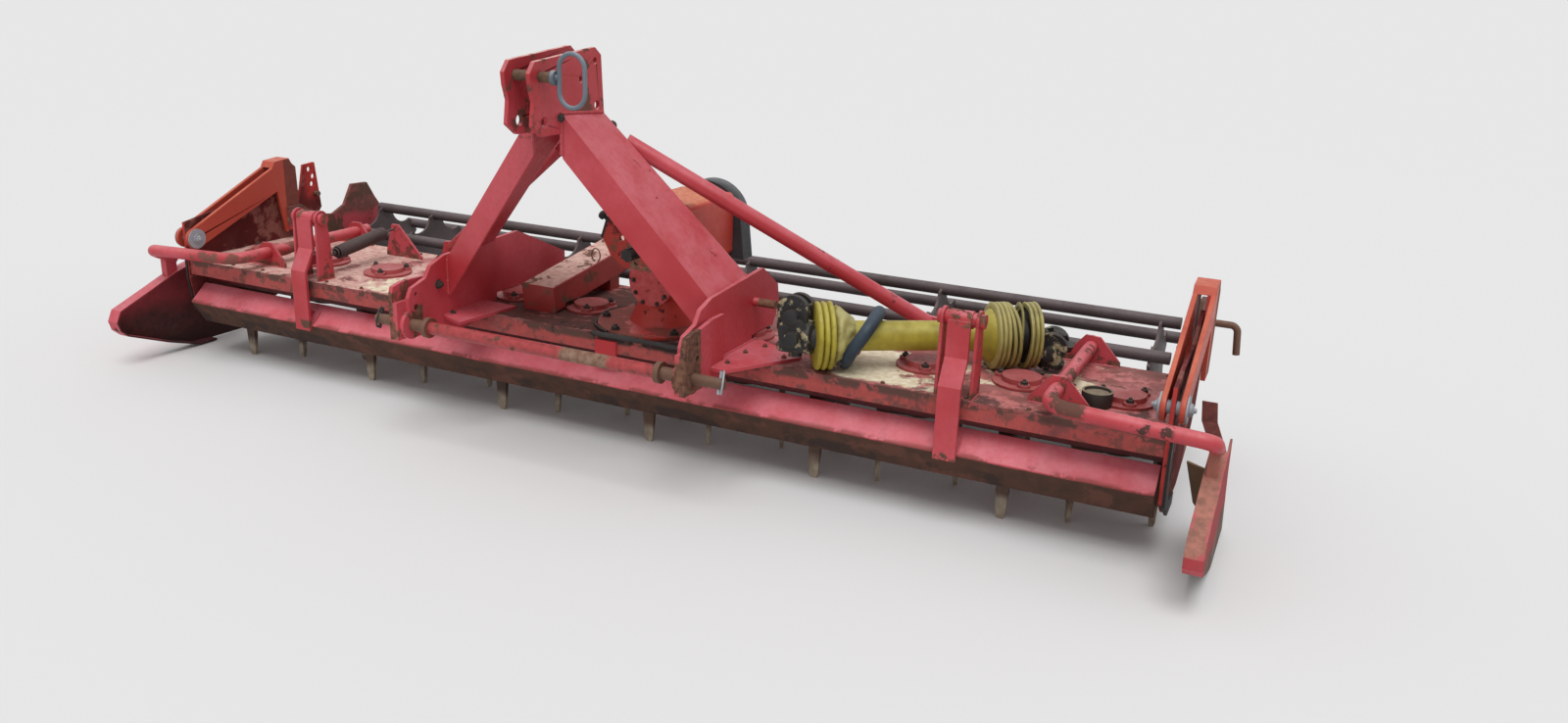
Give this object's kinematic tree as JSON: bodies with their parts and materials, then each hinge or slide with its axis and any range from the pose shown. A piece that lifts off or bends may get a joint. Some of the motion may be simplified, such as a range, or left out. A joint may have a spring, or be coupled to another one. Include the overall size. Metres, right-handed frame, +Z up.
{
  "type": "power harrow",
  "caption": "Mounted power harrow with a row of tined rotors, clod board, side shields and a cage roller behind.",
  "frame": {"origin": "on the ground under the middle of the machine's overall box", "axes": "+X to the machine's right-hand end as seen from the tractor, -Y towards the tractor, +Z up"},
  "size_m": [3.256, 1.236, 1.0679],
  "materials": {
    "body_paint": "faded pink-red paint, chalky and scratched",
    "deck_paint": "flaked red paint over primer and rust, dirty",
    "trough_paint": "dark dirty red paint",
    "board_paint": "faded red upper face, earth-worn lower face",
    "arm_paint": "orange-red paint, chipped edges",
    "gear_paint": "orange-red paint, chipped and greasy",
    "cap_paint": "red paint worn off the cast covers",
    "tine_steel": "earth-polished steel with rust",
    "pin_steel": "rusty bare steel",
    "roller_steel": "dark grey-brown weathered steel",
    "zinc_steel": "dull zinc plate",
    "black_steel": "greasy black paint",
    "black_plastic": "weathered black plastic",
    "guard_plastic": "dirty faded yellow plastic",
    "ring_rubber": "dusty blue-grey rubber",
    "spring_steel": "dark rust-brown spring wire",
    "cup_steel": "dark rim, tan inside"
  },
  "bodies": {
    "frame": {"trough": "trough_paint", "trough_cover": "deck_paint", "end_plates": "trough_paint", "bearing_caps": "cap_paint", "gearbox": "gear_paint", "input_shaft": "black_steel", "speed_housing": "gear_paint", "rear_guard": "black_plastic", "rear_shaft": "black_steel", "headstock": "body_paint", "top_link_pin": "zinc_steel", "headstock_legs": "body_paint", "hitch_plates": "body_paint", "link_bar": "pin_steel", "braces": "body_paint", "box_beam": "deck_paint", "deck_ears": "body_paint", "arm_pivots": "zinc_steel", "depth_pins": "pin_steel", "filler_cup": "cup_steel", "tension_spring": "spring_steel", "shaft_guard": "guard_plastic", "shaft_yokes": "black_steel", "rubber_ring": "ring_rubber"},
    "board": {"clod_board": "board_paint", "board_arms": "body_paint"},
    "shield_right_arm": {"shield_right": "body_paint", "shield_tube_right": "body_paint"},
    "shield_left_arm": {"shield_left": "body_paint", "shield_tube_left": "body_paint"},
    "roller_frame": {"roller_arms": "arm_paint", "roller_hangers": "body_paint"},
    "roller": {"roller_tubes": "roller_steel", "roller_discs": "roller_steel", "roller_shaft": "roller_steel"},
    "rotor_01_body": {"rotor_01": "tine_steel"},
    "rotor_02_body": {"rotor_02": "tine_steel"},
    "rotor_03_body": {"rotor_03": "tine_steel"},
    "rotor_04_body": {"rotor_04": "tine_steel"},
    "rotor_05_body": {"rotor_05": "tine_steel"},
    "rotor_06_body": {"rotor_06": "tine_steel"},
    "rotor_07_body": {"rotor_07": "tine_steel"},
    "rotor_08_body": {"rotor_08": "tine_steel"},
    "rotor_09_body": {"rotor_09": "tine_steel"},
    "rotor_10_body": {"rotor_10": "tine_steel"},
    "rotor_11_body": {"rotor_11": "tine_steel"},
    "rotor_12_body": {"rotor_12": "tine_steel"}
  },
  "joints": [
    {"name": "board_swing", "type": "hinge", "parent": "frame", "child": "board", "pos_m": [0, -0.29604, 0.506], "axis": [-1, 0, 0], "range_deg": [0, 20], "stiffness_Nm_per_rad": 60, "springref_deg": -17.19},
    {"name": "shield_right_fold", "type": "hinge", "parent": "frame", "child": "shield_right_arm", "pos_m": [1.238, -0.13104, 0.362], "axis": [0, -1, 0], "range_deg": [0, 90]},
    {"name": "shield_left_fold", "type": "hinge", "parent": "frame", "child": "shield_left_arm", "pos_m": [-1.238, -0.13104, 0.362], "axis": [0, 1, 0], "range_deg": [0, 90]},
    {"name": "roller_lift", "type": "hinge", "parent": "frame", "child": "roller_frame", "pos_m": [0, -0.31504, 0.386], "axis": [1, 0, 0], "range_deg": [-3, 12]},
    {"name": "roller_spin", "type": "hinge", "parent": "roller_frame", "child": "roller", "pos_m": [0, 0.42246, 0.19], "axis": [1, 0, 0], "continuous": true},
    {"name": "rotor_01_spin", "type": "hinge", "parent": "frame", "child": "rotor_01_body", "pos_m": [-1.375, -0.13104, 0.2], "axis": [0, 0, 1], "continuous": true},
    {"name": "rotor_02_spin", "type": "hinge", "parent": "frame", "child": "rotor_02_body", "pos_m": [-1.125, -0.13104, 0.2], "axis": [0, 0, 1], "continuous": true},
    {"name": "rotor_03_spin", "type": "hinge", "parent": "frame", "child": "rotor_03_body", "pos_m": [-0.875, -0.13104, 0.2], "axis": [0, 0, 1], "continuous": true},
    {"name": "rotor_04_spin", "type": "hinge", "parent": "frame", "child": "rotor_04_body", "pos_m": [-0.625, -0.13104, 0.2], "axis": [0, 0, 1], "continuous": true},
    {"name": "rotor_05_spin", "type": "hinge", "parent": "frame", "child": "rotor_05_body", "pos_m": [-0.375, -0.13104, 0.2], "axis": [0, 0, 1], "continuous": true},
    {"name": "rotor_06_spin", "type": "hinge", "parent": "frame", "child": "rotor_06_body", "pos_m": [-0.125, -0.13104, 0.2], "axis": [0, 0, 1], "continuous": true},
    {"name": "rotor_07_spin", "type": "hinge", "parent": "frame", "child": "rotor_07_body", "pos_m": [0.125, -0.13104, 0.2], "axis": [0, 0, 1], "continuous": true},
    {"name": "rotor_08_spin", "type": "hinge", "parent": "frame", "child": "rotor_08_body", "pos_m": [0.375, -0.13104, 0.2], "axis": [0, 0, 1], "continuous": true},
    {"name": "rotor_09_spin", "type": "hinge", "parent": "frame", "child": "rotor_09_body", "pos_m": [0.625, -0.13104, 0.2], "axis": [0, 0, 1], "continuous": true},
    {"name": "rotor_10_spin", "type": "hinge", "parent": "frame", "child": "rotor_10_body", "pos_m": [0.875, -0.13104, 0.2], "axis": [0, 0, 1], "continuous": true},
    {"name": "rotor_11_spin", "type": "hinge", "parent": "frame", "child": "rotor_11_body", "pos_m": [1.125, -0.13104, 0.2], "axis": [0, 0, 1], "continuous": true},
    {"name": "rotor_12_spin", "type": "hinge", "parent": "frame", "child": "rotor_12_body", "pos_m": [1.375, -0.13104, 0.2], "axis": [0, 0, 1], "continuous": true}
  ],
  "couplings": [
    {"joint": "rotor_02_spin", "follows": "rotor_01_spin", "ratio": -1},
    {"joint": "rotor_03_spin", "follows": "rotor_01_spin", "ratio": 1},
    {"joint": "rotor_04_spin", "follows": "rotor_01_spin", "ratio": -1},
    {"joint": "rotor_05_spin", "follows": "rotor_01_spin", "ratio": 1},
    {"joint": "rotor_06_spin", "follows": "rotor_01_spin", "ratio": -1},
    {"joint": "rotor_07_spin", "follows": "rotor_01_spin", "ratio": 1},
    {"joint": "rotor_08_spin", "follows": "rotor_01_spin", "ratio": -1},
    {"joint": "rotor_09_spin", "follows": "rotor_01_spin", "ratio": 1},
    {"joint": "rotor_10_spin", "follows": "rotor_01_spin", "ratio": -1},
    {"joint": "rotor_11_spin", "follows": "rotor_01_spin", "ratio": 1},
    {"joint": "rotor_12_spin", "follows": "rotor_01_spin", "ratio": -1}
  ]
}
